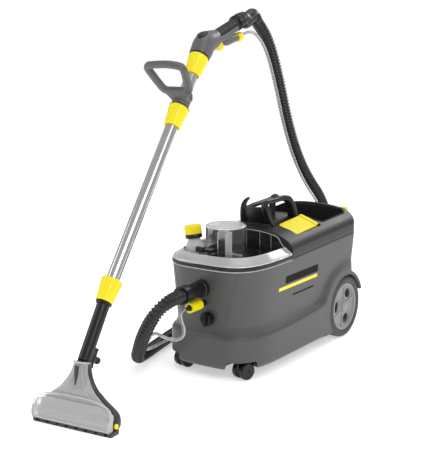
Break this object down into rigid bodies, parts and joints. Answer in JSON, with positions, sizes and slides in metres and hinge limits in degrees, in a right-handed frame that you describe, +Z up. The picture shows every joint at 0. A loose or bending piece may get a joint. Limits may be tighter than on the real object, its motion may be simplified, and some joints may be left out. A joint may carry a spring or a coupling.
{
  "type": "spot extractor",
  "caption": "Wheeled spray-extraction cleaner with a clear waste tank in its nose, a floor wand with a D handle, and a suction hose with a clipped spray hose.",
  "frame": {"origin": "bottom centre of the box around the machine and the wand, on the floor", "axes": "+X to the machine's right, +Y to its rear, +Z up"},
  "size_m": [0.4838, 1.4996, 1.0207],
  "materials": {
    "housing_grey": "fine-grained moulded grey plastic",
    "cover_black": "satin black plastic",
    "part_black": "glossy black plastic",
    "yellow": "bright yellow moulded plastic",
    "clear_plastic": "clear moulded polycarbonate",
    "milky_plastic": "translucent milky plastic",
    "tyre_grey": "dark grey rubber tread",
    "hub_grey": "light grey plastic",
    "castor_black": "black plastic",
    "tube_steel": "polished stainless tube",
    "axle_steel": "plated steel",
    "seal_rubber": "soft black rubber",
    "machinery": "plain black moulding",
    "badge_print": "printed bar over a yellow stripe",
    "hose_black": "corrugated black suction hose",
    "spray_clear": "clear flexible tube"
  },
  "bodies": {
    "machine": {"lower_housing": "housing_grey", "base_plate": "cover_black", "base_screws": "axle_steel", "top_cover": "cover_black", "switch_surrounds": "cover_black", "carry_handle": "part_black", "rim_seal": "part_black", "tank_bay": "cover_black", "suction_port": "part_black", "hose_cuff": "part_black", "spray_socket": "part_black", "cable_gland": "part_black", "fresh_water_tank": "milky_plastic", "suction_turbine": "machinery", "spray_pump": "machinery", "rear_axle": "axle_steel", "suction_duct": "machinery", "badge": "badge_print", "suction_hose": "hose_black", "spray_hose": "spray_clear"},
    "waste_tank": {"waste_tank": "clear_plastic"},
    "tank_lid": {"tank_lid": "clear_plastic", "lid_seal": "seal_rubber", "float_cage": "milky_plastic"},
    "dome_cap": {"dome_cap": "milky_plastic"},
    "float_valve": {"float_valve": "part_black"},
    "lid_latch": {"lid_latch": "part_black"},
    "detergent_bottle": {"detergent_bottle": "milky_plastic"},
    "bottle_cap": {"bottle_cap": "yellow"},
    "right_rocker_switch": {"right_rocker_switch": "yellow"},
    "left_rocker_switch": {"left_rocker_switch": "yellow"},
    "cable_hook": {"cable_hook": "yellow"},
    "drain_cap": {"drain_cap": "part_black"},
    "spray_coupling": {"spray_coupling": "yellow"},
    "wand": {"nozzle_body": "housing_grey", "lip_strip": "part_black", "nozzle_window": "clear_plastic", "nozzle_pipe": "part_black", "lower_tube": "tube_steel", "upper_tube": "tube_steel", "grip_elbow": "housing_grey", "grip_bar": "part_black", "grip_shell": "housing_grey", "swivel_cuff": "part_black", "spray_valve": "part_black", "spray_line": "spray_clear"},
    "lower_nut": {"lower_nut": "yellow"},
    "middle_nut": {"middle_nut": "yellow"},
    "upper_nut": {"upper_nut": "yellow"},
    "d_handle": {"d_handle": "housing_grey"},
    "trigger": {"trigger": "yellow"},
    "pod_coupling": {"pod_coupling": "yellow"},
    "right_wheel": {"right_tyre": "tyre_grey", "right_hub": "hub_grey"},
    "right_castor_fork": {"right_castor_fork": "castor_black"},
    "right_castor_wheels": {"right_castor_wheels": "tyre_grey"},
    "left_wheel": {"left_tyre": "tyre_grey", "left_hub": "hub_grey"},
    "left_castor_fork": {"left_castor_fork": "castor_black"},
    "left_castor_wheels": {"left_castor_wheels": "tyre_grey"}
  },
  "joints": [
    {"name": "waste_tank_lift", "type": "slide", "parent": "machine", "child": "waste_tank", "axis": [0, 0, 1], "range_m": [0, 0.14]},
    {"name": "tank_lid_lift", "type": "slide", "parent": "waste_tank", "child": "tank_lid", "axis": [0, 0, 1], "range_m": [0, 0.02]},
    {"name": "dome_cap_turn", "type": "hinge", "parent": "tank_lid", "child": "dome_cap", "pos_m": [-0.0138, 0.0678, 0.41], "axis": [0, 0, 1], "range_deg": [0, 45]},
    {"name": "float_rise", "type": "slide", "parent": "tank_lid", "child": "float_valve", "axis": [0, 0, 1], "range_m": [0, 0.02]},
    {"name": "lid_latch_turn", "type": "hinge", "parent": "tank_lid", "child": "lid_latch", "pos_m": [-0.0248, -0.0062, 0.35], "axis": [-1, 0, 0], "range_deg": [0, 75]},
    {"name": "bottle_lift", "type": "slide", "parent": "waste_tank", "child": "detergent_bottle", "axis": [-0.165, 0, 0.9863], "range_m": [0, 0.1]},
    {"name": "bottle_cap_turn", "type": "hinge", "parent": "detergent_bottle", "child": "bottle_cap", "pos_m": [-0.09326, 0.0178, 0.39022], "axis": [-0.165, 0, 0.9863], "continuous": true},
    {"name": "right_switch_rock", "type": "hinge", "parent": "machine", "child": "right_rocker_switch", "pos_m": [0.0942, 0.2938, 0.376], "axis": [-0.9397, 0, 0.342], "range_deg": [0, 10]},
    {"name": "left_switch_rock", "type": "hinge", "parent": "machine", "child": "left_rocker_switch", "pos_m": [-0.0818, 0.2938, 0.376], "axis": [-0.9397, 0, -0.342], "range_deg": [0, 10]},
    {"name": "cable_hook_turn", "type": "hinge", "parent": "machine", "child": "cable_hook", "pos_m": [0.0952, 0.5698, 0.383], "axis": [0, 1, 0], "range_deg": [0, 180]},
    {"name": "drain_cap_turn", "type": "hinge", "parent": "machine", "child": "drain_cap", "pos_m": [0.0232, -0.0812, 0.172], "axis": [0, 1, 0], "range_deg": [0, 90]},
    {"name": "spray_coupling_pull", "type": "slide", "parent": "machine", "child": "spray_coupling", "axis": [0, 1, 0], "range_m": [0, 0.005], "stiffness_N_per_m": 600},
    {"name": "wand_lift", "type": "slide", "parent": "machine", "child": "wand", "axis": [0, 0, 1], "range_m": [0, 0.06]},
    {"name": "lower_nut_turn", "type": "hinge", "parent": "wand", "child": "lower_nut", "pos_m": [-0.05075, -0.41766, 0.315], "axis": [-0.0457, 0.6222, 0.7815], "continuous": true},
    {"name": "middle_nut_turn", "type": "hinge", "parent": "wand", "child": "middle_nut", "pos_m": [-0.07492, -0.08851, 0.72842], "axis": [-0.0457, 0.6222, 0.7815], "continuous": true},
    {"name": "upper_nut_turn", "type": "hinge", "parent": "wand", "child": "upper_nut", "pos_m": [-0.08269, 0.01726, 0.86128], "axis": [-0.0457, 0.6222, 0.7815], "continuous": true},
    {"name": "d_handle_turn", "type": "hinge", "parent": "wand", "child": "d_handle", "pos_m": [-0.07725, -0.05678, 0.76828], "axis": [-0.0457, 0.6222, 0.7815], "range_deg": [-45, 45]},
    {"name": "trigger_pull", "type": "hinge", "parent": "wand", "child": "trigger", "pos_m": [-0.09198, 0.14384, 0.9153], "axis": [0.9973, 0.0732, 0], "range_deg": [0, 6], "stiffness_Nm_per_rad": 0.5},
    {"name": "pod_coupling_pull", "type": "slide", "parent": "wand", "child": "pod_coupling", "axis": [-0.0703, 0.9574, 0.28], "range_m": [0, 0.004], "stiffness_N_per_m": 600},
    {"name": "right_wheel_spin", "type": "hinge", "parent": "machine", "child": "right_wheel", "pos_m": [0.1412, 0.4868, 0.097], "axis": [1, 0, 0], "continuous": true},
    {"name": "right_castor_swivel", "type": "hinge", "parent": "machine", "child": "right_castor_fork", "pos_m": [0.1072, -0.0402, 0.06], "axis": [0, 0, 1], "continuous": true},
    {"name": "right_castor_roll", "type": "hinge", "parent": "right_castor_fork", "child": "right_castor_wheels", "pos_m": [0.1101, -0.02856, 0.025], "axis": [0.9703, -0.2419, 0], "continuous": true},
    {"name": "left_wheel_spin", "type": "hinge", "parent": "machine", "child": "left_wheel", "pos_m": [-0.1288, 0.4868, 0.097], "axis": [1, 0, 0], "continuous": true},
    {"name": "left_castor_swivel", "type": "hinge", "parent": "machine", "child": "left_castor_fork", "pos_m": [-0.0948, -0.0402, 0.06], "axis": [0, 0, 1], "continuous": true},
    {"name": "left_castor_roll", "type": "hinge", "parent": "left_castor_fork", "child": "left_castor_wheels", "pos_m": [-0.0919, -0.02856, 0.025], "axis": [0.9703, -0.2419, 0], "continuous": true}
  ]
}
